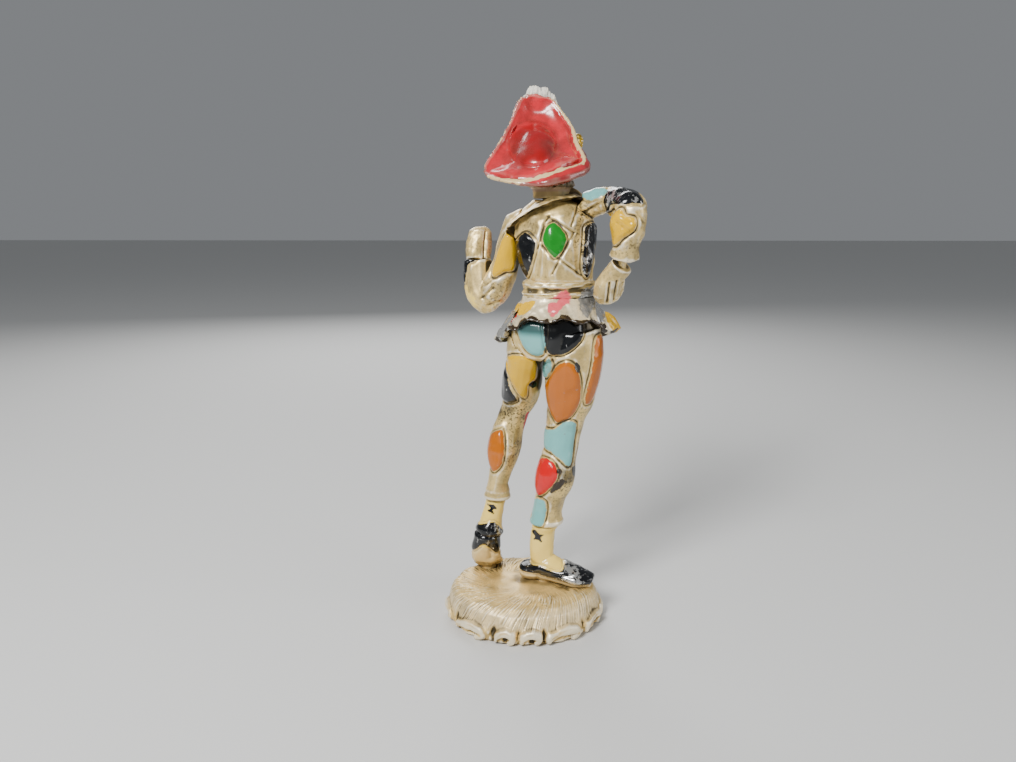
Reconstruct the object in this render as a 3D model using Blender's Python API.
"""A painted white-metal figure of a masquerade dancer on an oval plinth.

The figure is an assembly of castings. Each casting ends in a spigot that seats in a socket of its
neighbour, with a thin line left for the solder. The dancer faces -Y, the plinth's underside is at
z = 0 and its centre is the origin. Lengths below are millimetres and are turned into metres by MM.
"""
import math

import bmesh
import bpy
from mathutils import Matrix, Vector

MM = 0.001

# Overall sizes
BASE_LENGTH = 19.6
BASE_WIDTH = 16.0
BASE_HEIGHT = 4.2
LEG_HEIGHT = 31.3
PELVIS_HEIGHT = 5.0
TORSO_HEIGHT = 10.6
HEAD_HEIGHT = 8.4
HAT_WIDTH = 11.6

# Walls, seams and spigots
SEAM_GAP = 0.1
SPIGOT_CLEARANCE = 0.08
SKIRT_WALL = 0.8
SASH_HALF_WIDTH = 3.95
SASH_HALF_DEPTH = 2.75
WAIST_SPIGOT = 3.2
NECK_SPIGOT = 2.0
SHOULDER_SPIGOT = 1.6
HIP_SPIGOT = 2.0
WRIST_SPIGOT = 1.1
FOOT_PEG = 1.7
FOOT_PEG_DEPTH = 2.2
SOLE_CUT_REACH = 12.0
SOLE_CUT_DEPTH = 3.0
COCKADE_WIDTH = 1.8
COCKADE_REACH = 1.0
HAT_SEAT_HALF_WIDTH = 4.1
HAT_SEAT_HALF_DEPTH = 3.9

# Mesh fineness
SIDES = 20
HAT_SIDES = 30
BASE_SIDES = 40
PEG_SIDES = 16

# Landmarks of the pose: every casting hangs from these, so a changed height moves what is above it
HIPS = Vector((-3.5, -0.5, BASE_HEIGHT + LEG_HEIGHT))
WAIST = HIPS + Vector((-0.4, -0.7, PELVIS_HEIGHT))
NECK = WAIST + Vector((0.9, -2.2, TORSO_HEIGHT))
CROWN = NECK + Vector((1.8, -1.3, HEAD_HEIGHT))
RIGHT_HIP = HIPS + Vector((-2.1, 0.1, -0.7))
LEFT_HIP = HIPS + Vector((3.1, -0.9, -0.9))
RIGHT_ANKLE = Vector((-2.2, -1.1, BASE_HEIGHT + 4.1))
LEFT_ANKLE = Vector((4.6, -3.1, BASE_HEIGHT + 5.4))
LEFT_SHOULDER = NECK + Vector((3.9, -0.4, -2.8))
RIGHT_SHOULDER = NECK + Vector((-4.6, 1.9, -0.9))
LEFT_ELBOW = WAIST + Vector((8.6, -3.6, -1.0))
LEFT_WRIST = LEFT_ELBOW + Vector((1.05, -0.8, 4.3))
RIGHT_ELBOW = RIGHT_SHOULDER + Vector((-3.6, 5.4, 0.4))
RIGHT_WRIST = WAIST + Vector((-6.8, 4.5, 3.5))
HAT_CENTRE = CROWN + Vector((-0.1, 0.3, -3.5))


def ellipse(centre, half_width, half_depth, normal, width, sides):
    """Points of an ellipse that faces along normal, its half_width lying along width."""
    depth = normal.cross(width)
    turns = (math.tau * step / sides for step in range(sides))
    return [
        centre + width * half_width * math.cos(turn) + depth * half_depth * math.sin(turn)
        for turn in turns
    ]


def between(rows, start, end):
    """Stations along the line from start to end: share of its length, offset in X and Y, half sizes."""
    return [
        (*start.lerp(end, share) + Vector((x, y, 0)), half_width, half_depth)
        for share, x, y, half_width, half_depth in rows
    ]


def relative(rows, origin):
    """Stations given by offsets from one landmark."""
    return [(*origin + Vector(row[:3]), *row[3:]) for row in rows]


def smoothed(stations, steps):
    """Stations with others between them, on a smooth curve through all five of their values."""
    values = [Vector(station) for station in stations]
    padded = [values[0] * 2 - values[1], *values, values[-1] * 2 - values[-2]]
    result = []
    for before, first, second, after in zip(padded, padded[1:], padded[2:], padded[3:]):
        for step in range(steps):
            t = step / steps
            result.append(
                first
                + (second - before) * (t / 2)
                + (before * 2 - first * 5 + second * 4 - after) * (t * t / 2)
                + (first * 3 - before - second * 3 + after) * (t * t * t / 2)
            )
    return [*result, values[-1]]


def rings_of(stations, across=(1, 0, 0), steps=2, grow=0.0, sides=SIDES, normal=None):
    """Elliptical rings that follow the stations; grow widens every ring for a neighbour's clearance."""
    stations = smoothed(stations, steps)
    centres = [Vector(station[:3]) for station in stations]
    last = len(stations) - 1
    rings = []
    width = Vector(across)
    for index, (centre, station) in enumerate(zip(centres, stations)):
        heading = normal or centres[min(index + 1, last)] - centres[max(index - 1, 0)]
        heading = Vector(heading).normalized()
        width = (width - heading * width.dot(heading)).normalized()
        rings.append(ellipse(centre, station[3] + grow, station[4] + grow, heading, width, sides))
    return rings


def add_object(name, mesh):
    """Link a finished bmesh as an object in the scene."""
    data = bpy.data.meshes.new(name)
    bmesh.ops.recalc_face_normals(mesh, faces=mesh.faces)
    mesh.to_mesh(data)
    mesh.free()
    data.shade_smooth()
    data.set_sharp_from_angle(angle=math.radians(40))
    made = bpy.data.objects.new(name, data)
    bpy.context.collection.objects.link(made)
    return made


def skin(name, rings):
    """A closed solid: a disc extruded from each ring of points to the next."""
    mesh = bmesh.new()
    around = mesh.verts.layers.int.new("around")
    disc = bmesh.ops.create_circle(mesh, cap_ends=True, radius=MM, segments=len(rings[0]))
    for number, vert in enumerate(disc["verts"]):
        vert[around] = number
        vert.co = rings[0][number] * MM
    foot = mesh.faces[:]
    cap = foot
    for ring in rings[1:]:
        extruded = bmesh.ops.extrude_face_region(mesh, geom=cap)["geom"]
        if cap != foot:
            bmesh.ops.delete(mesh, geom=cap, context="FACES_ONLY")
        cap = [item for item in extruded if isinstance(item, bmesh.types.BMFace)]
        for vert in cap[0].verts:
            vert.co = ring[vert[around]] * MM
    return add_object(name, mesh)


def peg(name, start, end, diameter):
    """A round bar from start to end."""
    mesh = bmesh.new()
    axis = end - start
    place = Matrix.Translation((start + end) * MM / 2) @ axis.to_track_quat("Z", "Y").to_matrix().to_4x4()
    bmesh.ops.create_cone(
        mesh,
        cap_ends=True,
        segments=PEG_SIDES,
        radius1=diameter * MM / 2,
        radius2=diameter * MM / 2,
        depth=axis.length * MM,
        matrix=place,
    )
    return add_object(name, mesh)


def block(name, low, high):
    """A rectangular block between two corners."""
    mesh = bmesh.new()
    place = Matrix.Translation((low + high) * MM / 2) @ Matrix.Diagonal((*(high - low) * MM, 1))
    bmesh.ops.create_cube(mesh, size=1, matrix=place)
    return add_object(name, mesh)


def combine(target, tool, operation):
    """Join or cut target with tool, which stays in the file as a hidden guide."""
    tool.hide_render = True
    tool.display_type = "WIRE"
    boolean = target.modifiers.new(f"{operation.lower()} {tool.name}", "BOOLEAN")
    boolean.operation = operation
    boolean.solver = "EXACT"
    boolean.object = tool


def join(target, tool):
    combine(target, tool, "UNION")


def cut(target, tool):
    combine(target, tool, "DIFFERENCE")


def grown(tool, clearance):
    """Swell a cutter along its normals, so that what it cuts keeps clear of the piece it copies."""
    swell = tool.modifiers.new("clearance", "DISPLACE")
    swell.strength = clearance * MM
    swell.mid_level = 0
    return tool


def spigot(name, male, female, start, end, diameter):
    """A bar cast on male that seats in a socket of female, clear all round and at its end."""
    join(male, peg(f"guide_{name}_bar", start, end, diameter))
    beyond = (end - start).normalized() * SPIGOT_CLEARANCE
    socket = peg(f"guide_{name}_socket", start, end + beyond, diameter + 2 * SPIGOT_CLEARANCE)
    for host in female:
        cut(host, socket)


def paint(made, name, colour, roughness, metallic=0.0):
    """Give a casting its own material."""
    material = bpy.data.materials.new(name)
    material.use_nodes = True
    shader = material.node_tree.nodes["Principled BSDF"]
    shader.inputs["Base Color"].default_value = (*colour, 1)
    shader.inputs["Roughness"].default_value = roughness
    shader.inputs["Metallic"].default_value = metallic
    material.diffuse_color = (*colour, 1)
    made.data.materials.append(material)


# Stations of each casting, in millimetres -------------------------------------------------------

# share of the leg's length, offset X, offset Y, half width, half depth
RIGHT_LEG = [
    (-0.04, 0.4, 0.1, 3.5, 3.2),
    (0.06, -0.3, 0.1, 3.6, 3.5),
    (0.17, -0.6, -0.1, 3.35, 3.3),
    (0.27, -0.7, -0.5, 2.85, 3.0),
    (0.35, -0.6, -0.8, 2.4, 2.6),
    (0.42, -0.5, -0.7, 2.2, 2.3),
    (0.51, -0.5, 0.0, 2.0, 2.2),
    (0.59, -0.3, 0.4, 2.3, 2.5),
    (0.65, -0.2, 0.5, 2.35, 2.4),
    (0.73, -0.1, 0.2, 1.9, 1.95),
    (0.80, 0.0, 0.1, 1.7, 1.7),
    (0.845, 0.0, 0.1, 1.95, 1.95),
    (0.88, 0.1, 0.1, 1.6, 1.6),
    (0.92, 0.1, 0.0, 1.45, 1.5),
    (1.00, 0.0, 0.0, 1.5, 1.6),
    (1.08, -0.2, 0.0, 1.5, 1.6),
]
LEFT_LEG = [
    (-0.05, -0.2, 0.2, 2.3, 2.7),
    (0.02, 0.0, -0.2, 2.4, 3.0),
    (0.12, -0.1, -1.2, 2.3, 3.0),
    (0.22, -0.4, -2.2, 2.4, 2.8),
    (0.30, -0.5, -3.1, 2.25, 2.5),
    (0.37, -0.3, -3.4, 1.85, 2.2),
    (0.45, 0.0, -3.1, 1.85, 1.9),
    (0.52, 0.2, -2.4, 2.1, 2.1),
    (0.59, 0.1, -1.8, 2.05, 2.1),
    (0.68, 0.0, -1.2, 1.45, 1.6),
    (0.74, 0.1, -0.8, 1.25, 1.35),
    (0.78, -0.1, -0.7, 1.55, 1.65),
    (0.82, -0.1, -0.6, 1.25, 1.3),
    (0.86, -0.1, -0.5, 1.15, 1.2),
    (0.93, -0.1, -0.3, 1.35, 1.4),
    (1.00, 0.0, 0.0, 1.5, 1.55),
]
# share of the height from hips to waist, offset X, offset Y, half width, half depth
PELVIS = [
    (-0.62, 0.0, -0.4, 2.0, 1.6),
    (-0.50, -0.1, -0.3, 3.9, 2.8),
    (-0.22, -0.2, -0.2, 5.1, 3.3),
    (0.14, 0.0, 0.1, 5.1, 3.3),
    (0.42, 0.1, 0.1, 4.6, 3.1),
    (0.66, 0.0, 0.0, 4.2, 2.9),
]
# share of the height from waist to neck, offset X, offset Y, half width, half depth
TORSO = [
    (0.11, -0.1, 0.2, 3.85, 2.7),
    (0.25, -0.1, 0.3, 4.2, 3.05),
    (0.46, 0.0, 0.3, 4.65, 3.35),
    (0.65, -0.1, 0.4, 4.75, 3.3),
    (0.80, -0.2, 0.5, 4.4, 2.9),
    (0.91, -0.2, 0.3, 3.2, 2.4),
    (0.97, -0.1, 0.1, 2.3, 2.0),
]
# share of the height from neck to crown, offset X, offset Y, half width, half depth
HEAD = [
    (-0.01, 0.0, 0.0, 2.15, 1.95),
    (0.13, -0.2, 0.1, 2.2, 2.1),
    (0.23, -0.2, -0.4, 2.5, 2.9),
    (0.37, -0.2, -0.5, 2.75, 3.4),
    (0.54, 0.1, -0.3, 2.6, 3.3),
    (0.66, 0.3, -0.1, 2.15, 2.7),
    (0.76, 0.5, 0.0, 1.75, 2.1),
    (0.84, 0.5, 0.0, 1.3, 1.5),
    (0.90, 0.5, 0.1, 0.7, 0.8),
]
# share of the way from shoulder to elbow, offset X, offset Y, half width, half depth
LEFT_ARM = [
    (0.0, -1.2, 0.4, 1.5, 1.5),
    (0.02, -0.1, 0.0, 1.55, 1.6),
    (0.36, -0.3, 0.3, 1.45, 1.5),
    (0.70, -0.8, 0.4, 1.7, 1.7),
    (0.98, -0.5, 0.3, 2.0, 1.9),
    (1.08, -0.2, 0.2, 1.3, 1.2),
]
# share of the way from elbow to wrist, offset X, offset Y, half width, half depth
RIGHT_FOREARM = [
    (-0.08, 0.0, -0.2, 0.8, 0.8),
    (0.0, 0.0, 0.0, 1.5, 1.5),
    (0.21, -0.1, 0.2, 1.9, 1.9),
    (0.54, -0.1, 0.3, 1.75, 1.7),
    (0.80, -0.1, 0.2, 1.45, 1.45),
    (0.92, -0.1, 0.1, 1.65, 1.6),
]
# offsets from a landmark in X, Y and Z, then half width and half depth
RIGHT_FOOT = [
    (3.2, -0.5, -3.1, 0.75, 0.6),
    (2.8, -0.4, -3.0, 1.25, 1.05),
    (1.8, -0.1, -2.7, 1.5, 1.4),
    (0.2, 0.2, -2.2, 1.6, 1.8),
    (-1.6, 0.8, -2.45, 1.6, 1.6),
    (-3.4, 1.4, -2.9, 1.7, 1.2),
    (-5.1, 2.0, -3.1, 1.55, 1.0),
    (-6.1, 2.3, -3.3, 0.85, 0.7),
]
LEFT_FOOT = [
    (0.1, 0.2, -0.3, 1.45, 1.5),
    (0.2, 0.0, -1.8, 1.8, 1.45),
    (0.3, -0.5, -3.5, 1.95, 1.2),
    (0.1, -1.4, -4.5, 1.9, 1.0),
    (-0.2, -2.5, -4.75, 1.6, 0.85),
    (-0.4, -3.3, -4.85, 0.9, 0.6),
]
LEFT_FOREARM = [
    (-1.3, 0.6, -0.7, 1.2, 1.1),
    (-0.5, 0.3, -0.4, 2.0, 1.8),
    (0.5, -0.2, 0.5, 2.1, 1.9),
    (0.95, -0.5, 2.2, 1.9, 1.75),
    (1.05, -0.75, 4.2, 1.75, 1.6),
]
LEFT_HAND = [
    (0.0, 0.0, 0.08, 1.45, 1.25),
    (-0.05, -0.2, 1.1, 1.6, 1.15),
    (-0.15, -0.45, 2.4, 1.5, 1.1),
    (-0.2, -0.6, 3.4, 1.3, 0.95),
    (-0.2, -0.65, 3.9, 0.7, 0.5),
]
RIGHT_ARM = [
    (0.9, -0.5, -0.3, 1.5, 1.5),
    (-0.7, 0.8, 0.4, 1.45, 1.5),
    (-2.3, 2.7, 0.4, 1.5, 1.5),
    (-3.5, 4.5, 0.0, 1.65, 1.65),
    (-4.2, 5.6, -0.4, 1.45, 1.45),
    (-4.6, 6.1, -0.6, 0.8, 0.8),
]
RIGHT_HAND = [
    (0.1, -0.2, -0.3, 1.25, 1.2),
    (0.7, -0.8, -1.3, 1.35, 1.2),
    (1.2, -1.4, -2.5, 1.8, 1.3),
    (1.4, -1.8, -3.7, 1.75, 1.3),
    (1.4, -2.0, -4.5, 1.1, 0.8),
]
COLLAR = [
    (0.1, 0.1, 0.4, 2.5, 2.3),
    (0.2, 0.3, -0.1, 3.2, 2.8),
    (0.5, 0.6, -1.2, 4.4, 3.7),
    (0.6, 0.7, -2.0, 5.0, 4.2),
    (0.6, 0.7, -2.4, 5.0, 4.2),
    (0.5, 0.6, -3.2, 4.0, 3.2),
]
COLLAR_LEAN = (0.4, -0.2, 1)
SKIRT_TOP = 0.86
SKIRT_FLARE_RIGHT = 6.2
SKIRT_FLARE_LEFT = 4.8
# the rim of the hat about its centre: from the nape round by the left corner to the peak, and back by
# the right corner
HAT_RIM = [
    (0.7, 4.2, -3.1),
    (3.7, 3.4, -3.0),
    (6.2, 0.8, -2.0),
    (5.0, -1.8, 0.7),
    (2.5, -4.0, 4.3),
    (-0.4, -5.2, 7.4),
    (-3.0, -4.0, 4.6),
    (-4.4, -1.2, 1.7),
    (-5.3, 1.6, -0.8),
    (-2.9, 3.6, -1.8),
]


def base_rings(grow=0.0):
    """Oval rings of the plinth from its underside to its top, which lies a little towards the front."""
    length = BASE_LENGTH / 2 + grow
    width = BASE_WIDTH / 2 + grow
    shares = [
        (0.0, 0.965, 0.945, 0.0),
        (0.14, 0.995, 0.99, 0.0),
        (0.31, 1.0, 1.0, 0.0),
        (0.52, 0.985, 0.97, -0.1),
        (0.74, 0.965, 0.93, -0.25),
        (0.90, 0.93, 0.87, -0.45),
        (0.975, 0.88, 0.80, -0.7),
        (1.0, 0.80, 0.72, -0.9),
    ]
    return [
        ellipse(
            Vector((0, y, share * BASE_HEIGHT)),
            length * along,
            width * across,
            Vector((0, 0, 1)),
            Vector((1, 0, 0)),
            BASE_SIDES,
        )
        for share, along, across, y in shares
    ]


def closed_curve(points, count):
    """Evenly numbered points on a smooth closed curve through the given ones."""
    total = len(points)
    result = []
    for index in range(count):
        place = index * total / count
        first = int(place)
        t = place - first
        before, start, end, after = (Vector(points[(first + step) % total]) for step in (-1, 0, 1, 2))
        result.append(
            start
            + (end - before) * (t / 2)
            + (before * 2 - start * 5 + end * 4 - after) * (t * t / 2)
            + (start * 3 - before - end * 3 + after) * (t * t * t / 2)
        )
    return result


def tilted_ring(centre, half_width, half_depth, rise):
    """A ring round the hat, counted from the nape towards the left; rise lifts its front."""
    points = []
    for step in range(HAT_SIDES):
        turn = math.tau * step / HAT_SIDES
        offset = Vector((half_width * math.sin(turn), half_depth * math.cos(turn), -rise * math.cos(turn)))
        points.append(Vector(centre) + offset)
    return points


def hat_seat():
    """The ring where the crown meets the brim, fitted round the head."""
    return tilted_ring((-0.1, 0.2, -0.1), HAT_SEAT_HALF_WIDTH, HAT_SEAT_HALF_DEPTH, 1.3)


def hat_rim():
    """The rim: its drawn points are pulled in or out from the seat to give the hat its width."""
    drawn = closed_curve(HAT_RIM, HAT_SIDES)
    across = [point.x for point in drawn]
    drawn_overhang = (max(across) - min(across)) / 2 - HAT_SEAT_HALF_WIDTH
    reach = (HAT_WIDTH / 2 - HAT_SEAT_HALF_WIDTH) / drawn_overhang
    return [inner.lerp(outer, reach) for inner, outer in zip(hat_seat(), drawn)]


def hat_rings():
    """Rings over the crown, out to the rim and back under the brim to the brow."""
    seat = hat_seat()
    rim = hat_rim()
    brow = tilted_ring((-0.7, -0.1, -1.9), 3.6, 3.8, 1.9)
    rings = [
        tilted_ring((0.6, -0.2, 4.1), 0.6, 0.6, 0.0),
        tilted_ring((0.6, -0.2, 3.8), 1.3, 1.3, 0.1),
        tilted_ring((0.6, -0.1, 3.2), 2.0, 2.0, 0.2),
        tilted_ring((0.6, 0.0, 2.4), 2.5, 2.6, 0.3),
        tilted_ring((0.4, 0.0, 1.5), 2.9, 3.0, 0.5),
        tilted_ring((0.1, 0.1, 0.7), 3.5, 3.5, 0.9),
        seat,
    ]
    for share in (0.3, 0.6, 0.85, 1.0):
        sag = Vector((0, 0, -0.6 * math.sin(math.pi * share)))
        rings.append([a.lerp(b, share) + sag for a, b in zip(seat, rim)])
    for share, bulge in ((0.06, 0.12), (0.3, 0.5), (0.6, 0.6), (0.85, 0.3), (1.0, 0.0)):
        ring = []
        for a, b in zip(rim, brow):
            point = a.lerp(b, share)
            outward = Vector((point.x, point.y, -1.0)).normalized()
            right_side = max(0.0, -outward.x)
            ring.append(point + outward * bulge * (1.1 + 1.3 * right_side))
        rings.append(ring)
    return [[HAT_CENTRE + point for point in ring] for ring in rings]


def skirt_outline(share, grow):
    """One ring of the jacket's skirt: 0 at the waist, 1 at the hem, which dips at the front and waves."""
    waist_level = HIPS.z + PELVIS_HEIGHT * SKIRT_TOP
    points = []
    for step in range(HAT_SIDES):
        turn = math.tau * step / HAT_SIDES
        back = math.cos(turn)
        side = math.sin(turn)
        wave = 0.18 * share * math.sin(9 * turn)
        front = max(0.0, -back) * share
        flare = SKIRT_FLARE_RIGHT if side < 0 else SKIRT_FLARE_LEFT
        half_width = SASH_HALF_WIDTH + 0.25 + 1.6 * share + flare * front + wave + grow
        half_depth = SASH_HALF_DEPTH + 0.25 + 1.9 * share + wave + grow
        drop = share * (2.7 + 3.2 * (1 - back) / 2)
        centre = Vector((WAIST.x + 0.35 * share, WAIST.y + 0.1 * share, waist_level - drop))
        points.append(centre + Vector((half_width * side, half_depth * back, 0)))
    return points


# The castings ------------------------------------------------------------------------------------


def make_base():
    made = skin("base", base_rings())
    paint(made, "base_enamel", (0.74, 0.56, 0.32), 0.42, 0.2)
    return made


def pelvis_rings(grow=0.0):
    return rings_of(between(PELVIS, HIPS, WAIST), normal=(0, 0, 1), grow=grow)


def right_leg_rings(grow=0.0):
    return rings_of(between(RIGHT_LEG, RIGHT_HIP, RIGHT_ANKLE), grow=grow)


def left_leg_rings(grow=0.0):
    return rings_of(between(LEFT_LEG, LEFT_HIP, LEFT_ANKLE), grow=grow)


def level_sole(casting, ankle):
    """Cut a shoe flat, just clear of the top of the plinth."""
    top = Vector((ankle.x, ankle.y, BASE_HEIGHT + SEAM_GAP))
    reach = Vector((SOLE_CUT_REACH, SOLE_CUT_REACH, 0))
    depth = Vector((0, 0, SOLE_CUT_DEPTH))
    cut(casting, block(f"guide_{casting.name}_sole", top - reach - depth, top + reach))


def make_lower_body():
    """Pelvis with the standing leg and its shoe."""
    made = skin("lower_body", pelvis_rings())
    join(made, skin("guide_right_leg", right_leg_rings()))
    join(made, skin("guide_right_foot", rings_of(relative(RIGHT_FOOT, RIGHT_ANKLE), across=(0, 1, 0))))
    level_sole(made, RIGHT_ANKLE)
    paint(made, "tights_enamel", (0.78, 0.70, 0.50), 0.4, 0.2)
    return made


def make_left_leg():
    """The stepping leg, raised on its toes."""
    made = skin("left_leg", left_leg_rings())
    join(made, skin("guide_left_foot", rings_of(relative(LEFT_FOOT, LEFT_ANKLE))))
    level_sole(made, LEFT_ANKLE)
    cut(made, skin("guide_pelvis_room", pelvis_rings(SEAM_GAP)))
    cut(made, skin("guide_right_leg_room", right_leg_rings(SEAM_GAP)))
    paint(made, "stepping_leg_enamel", (0.80, 0.66, 0.36), 0.4, 0.2)
    return made


def torso_rings(grow=0.0):
    return rings_of(between(TORSO, WAIST, NECK), across=(1, -0.2, -0.12), normal=(0, 0, 1), grow=grow)


def make_torso():
    made = skin("torso", torso_rings())
    paint(made, "jacket_enamel", (0.76, 0.68, 0.48), 0.4, 0.2)
    return made


def make_waist_sash():
    """Two rolls of cloth round the waist, clamped between the jacket's skirt and the torso."""
    low = HIPS.z + PELVIS_HEIGHT * SKIRT_TOP + SEAM_GAP
    high = WAIST.z + TORSO_HEIGHT * TORSO[0][0] - SEAM_GAP
    profile = [(0.0, 0.0), (0.12, 0.35), (0.3, 0.45), (0.5, 0.15), (0.7, 0.45), (0.88, 0.35), (1.0, 0.0)]
    rings = [
        ellipse(
            Vector((WAIST.x, WAIST.y, low + (high - low) * share)),
            SASH_HALF_WIDTH + swell,
            SASH_HALF_DEPTH + swell,
            Vector((0, 0, 1)),
            Vector((1, 0, 0)),
            HAT_SIDES,
        )
        for share, swell in profile
    ]
    made = skin("waist_sash", rings)
    paint(made, "sash_enamel", (0.80, 0.70, 0.48), 0.4, 0.2)
    return made


def make_jacket_skirt():
    """The jacket's flared skirt: a shell that hangs over the hips from a flat top at the waist."""
    shares = (0.0, 0.25, 0.5, 0.75, 0.92, 1.0)
    made = skin("jacket_skirt", [skirt_outline(share, 0.0) for share in shares])
    inside = [skirt_outline(share, -SKIRT_WALL) for share in (0.3, 0.5, 0.75, 0.92, 1.0)]
    below = [point - Vector((0, 0, 3)) for point in inside[-1]]
    cut(made, skin("guide_skirt_hollow", [*inside, below]))
    cut(made, skin("guide_skirt_over_pelvis", pelvis_rings(2 * SEAM_GAP)))
    cut(made, skin("guide_skirt_over_right_leg", right_leg_rings(2 * SEAM_GAP)))
    cut(made, skin("guide_skirt_over_left_leg", left_leg_rings(2 * SEAM_GAP)))
    paint(made, "skirt_enamel", (0.82, 0.72, 0.55), 0.4, 0.2)
    return made


def collar_rings(grow=0.0):
    return rings_of(relative(COLLAR, NECK), normal=COLLAR_LEAN, grow=grow)


def make_collar():
    """A cape collar that lies on the shoulders, lower over the left one."""
    made = skin("collar", collar_rings())
    cut(made, skin("guide_collar_over_torso", torso_rings(SEAM_GAP)))
    cut(made, skin("guide_collar_round_neck", head_rings(SEAM_GAP)))
    neck_bore = 2 * HEAD[0][3] + SEAM_GAP
    cut(made, peg("guide_collar_bore", NECK - Vector((0, 0, 2)), NECK + Vector((0, 0, 0.5)), neck_bore))
    paint(made, "collar_enamel", (0.78, 0.70, 0.50), 0.4, 0.2)
    return made


def head_rings(grow=0.0):
    return rings_of(between(HEAD, NECK, CROWN), grow=grow, normal=(0, 0, 1))


def make_head():
    made = skin("head", head_rings())
    paint(made, "face_enamel", (0.80, 0.62, 0.42), 0.45)
    return made


def make_hat():
    made = skin("hat", hat_rings())
    cut(made, skin("guide_hat_over_head", head_rings(SEAM_GAP)))
    paint(made, "hat_enamel", (0.62, 0.02, 0.04), 0.25)
    return made


def make_hat_tuft():
    """A white plume over the peak of the hat."""
    peak = hat_rim()[HAT_SIDES // 2]
    centre = HAT_CENTRE + peak + Vector((0.0, -0.1, -0.6))
    stations = [
        (-2.5, 0.5, -1.4, 0.5, 0.5),
        (-1.9, 0.3, -0.7, 1.0, 1.0),
        (-0.7, 0.0, 0.2, 1.3, 1.2),
        (0.7, 0.0, 0.2, 1.3, 1.2),
        (1.7, 0.3, -0.7, 1.0, 1.0),
        (2.1, 0.5, -1.4, 0.5, 0.5),
    ]
    rings = rings_of(relative(stations, centre), across=(0, 0, 1), steps=1, sides=14)
    made = skin("hat_tuft", rings)
    cut(made, grown(skin("guide_tuft_over_hat", hat_rings()), SEAM_GAP))
    paint(made, "plume_enamel", (0.9, 0.87, 0.78), 0.55)
    return made


def make_hat_cockade():
    """A gilt button on the outside of the hat's right side."""
    beside = hat_rim()[HAT_SIDES * 7 // 10]
    start = HAT_CENTRE + beside + Vector((0.2, -1.4, -0.1))
    outward = Vector((-0.86, -0.5, 0.05))
    made = peg("hat_cockade", start, start + outward * COCKADE_REACH, COCKADE_WIDTH)
    cut(made, grown(skin("guide_cockade_over_hat", hat_rings()), SEAM_GAP))
    paint(made, "cockade_gilt", (0.8, 0.6, 0.1), 0.3, 0.6)
    return made


def make_left_arm():
    made = skin("left_arm", rings_of(between(LEFT_ARM, LEFT_SHOULDER, LEFT_ELBOW)))
    join(made, skin("guide_left_forearm", rings_of(relative(LEFT_FOREARM, LEFT_ELBOW))))
    cut(made, skin("guide_left_arm_on_torso", torso_rings(SEAM_GAP)))
    cut(made, skin("guide_left_arm_under_collar", collar_rings(SEAM_GAP)))
    paint(made, "left_sleeve_enamel", (0.80, 0.70, 0.46), 0.4, 0.2)
    return made


def make_right_arm():
    made = skin("right_arm", rings_of(relative(RIGHT_ARM, RIGHT_SHOULDER), across=(0, 0, 1)))
    forearm = rings_of(between(RIGHT_FOREARM, RIGHT_ELBOW, RIGHT_WRIST))
    join(made, skin("guide_right_forearm", forearm))
    cut(made, skin("guide_right_arm_on_torso", torso_rings(SEAM_GAP)))
    cut(made, skin("guide_right_arm_under_collar", collar_rings(SEAM_GAP)))
    paint(made, "right_sleeve_enamel", (0.78, 0.68, 0.46), 0.4, 0.2)
    return made


def make_hand(name, stations, wrist, across):
    made = skin(name, rings_of(relative(stations, wrist), across=across))
    paint(made, f"{name}_enamel", (0.82, 0.72, 0.50), 0.45, 0.1)
    return made


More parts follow.
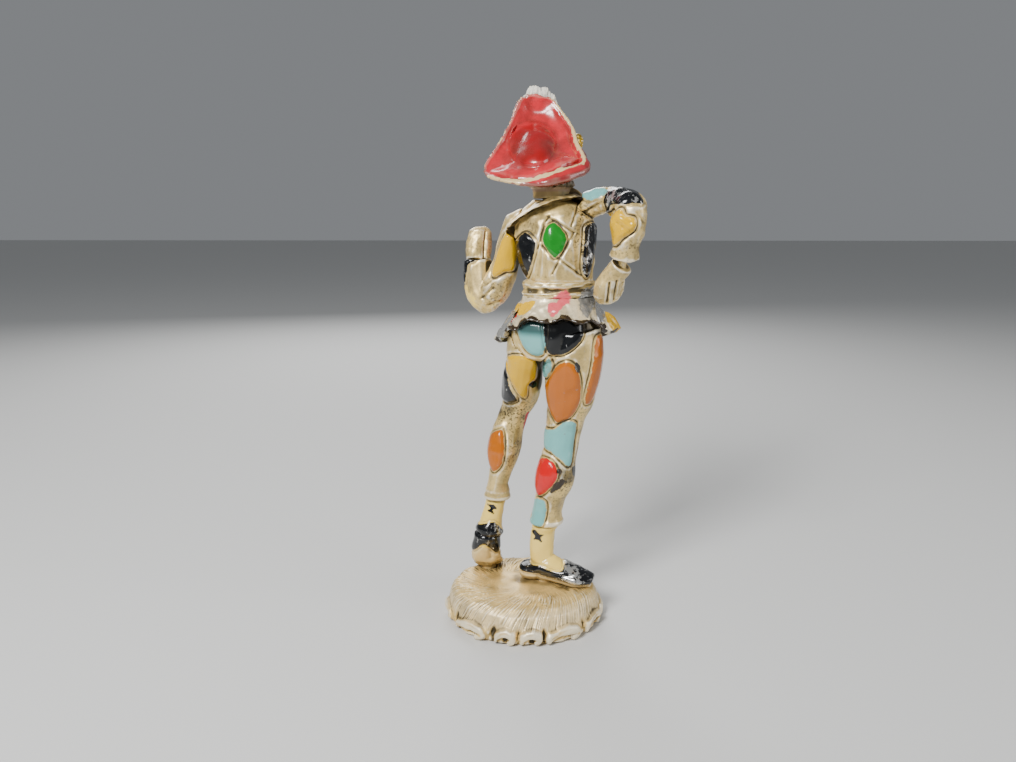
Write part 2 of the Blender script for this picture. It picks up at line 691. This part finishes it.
def fit_castings(parts):
    """Cast a spigot on one side of every seam and cut its socket on the other side."""
    for name, casting, ankle, offset in (
        ("standing_foot", "lower_body", RIGHT_ANKLE, Vector((-0.4, 0.3, 0))),
        ("stepping_toe", "left_leg", LEFT_ANKLE, Vector((0.0, -1.3, 0))),
    ):
        top = Vector((ankle.x + offset.x, ankle.y + offset.y, BASE_HEIGHT + 1))
        bottom = Vector((top.x, top.y, BASE_HEIGHT - FOOT_PEG_DEPTH))
        spigot(name, parts[casting], [parts["base"]], top, bottom, FOOT_PEG)
    spigot(
        "waist",
        parts["lower_body"],
        [parts["jacket_skirt"], parts["waist_sash"], parts["torso"]],
        HIPS + Vector((-0.2, -0.4, 1.5)),
        WAIST + Vector((0, 0, 3.2)),
        WAIST_SPIGOT,
    )
    # name, male, female, landmark, offset of the rooted end, offset of the seated end, diameter
    joints = (
        ("neck", "head", "torso", NECK, (0, 0, 1.2), (0, 0, -3), NECK_SPIGOT),
        ("hip", "left_leg", "lower_body", LEFT_HIP, (0.3, -1.2, -1.6), (-2.4, 0.6, 0.6), HIP_SPIGOT),
        (
            "left_shoulder",
            "left_arm",
            "torso",
            LEFT_SHOULDER,
            (1.0, -0.1, -2.9),
            (-1.8, 0.4, -2.9),
            SHOULDER_SPIGOT,
        ),
        (
            "right_shoulder",
            "right_arm",
            "torso",
            RIGHT_SHOULDER,
            (-0.9, 1.0, 0.2),
            (1.9, -0.8, -1.6),
            SHOULDER_SPIGOT,
        ),
        ("left_wrist", "left_hand", "left_arm", LEFT_WRIST, (0, -0.1, 0.8), (0, 0.1, -1.6), WRIST_SPIGOT),
        (
            "right_wrist",
            "right_hand",
            "right_arm",
            RIGHT_WRIST,
            (0.3, -0.4, -0.8),
            (-0.3, 0.3, 1.6),
            WRIST_SPIGOT,
        ),
    )
    for name, male, female, landmark, root, tip, diameter in joints:
        start = landmark + Vector(root)
        end = landmark + Vector(tip)
        spigot(name, parts[male], [parts[female]], start, end, diameter)


def main():
    for leftover in bpy.data.objects[:]:
        bpy.data.objects.remove(leftover)
    makers = (
        make_base,
        make_lower_body,
        make_left_leg,
        make_torso,
        make_waist_sash,
        make_jacket_skirt,
        make_collar,
        make_head,
        make_hat,
        make_hat_tuft,
        make_hat_cockade,
        make_left_arm,
        make_right_arm,
    )
    parts = {}
    for maker in makers:
        made = maker()
        parts[made.name] = made
    parts["left_hand"] = make_hand("left_hand", LEFT_HAND, LEFT_WRIST, (1, 0.2, 0))
    parts["right_hand"] = make_hand("right_hand", RIGHT_HAND, RIGHT_WRIST, (1, 0.6, 0))
    fit_castings(parts)


main()
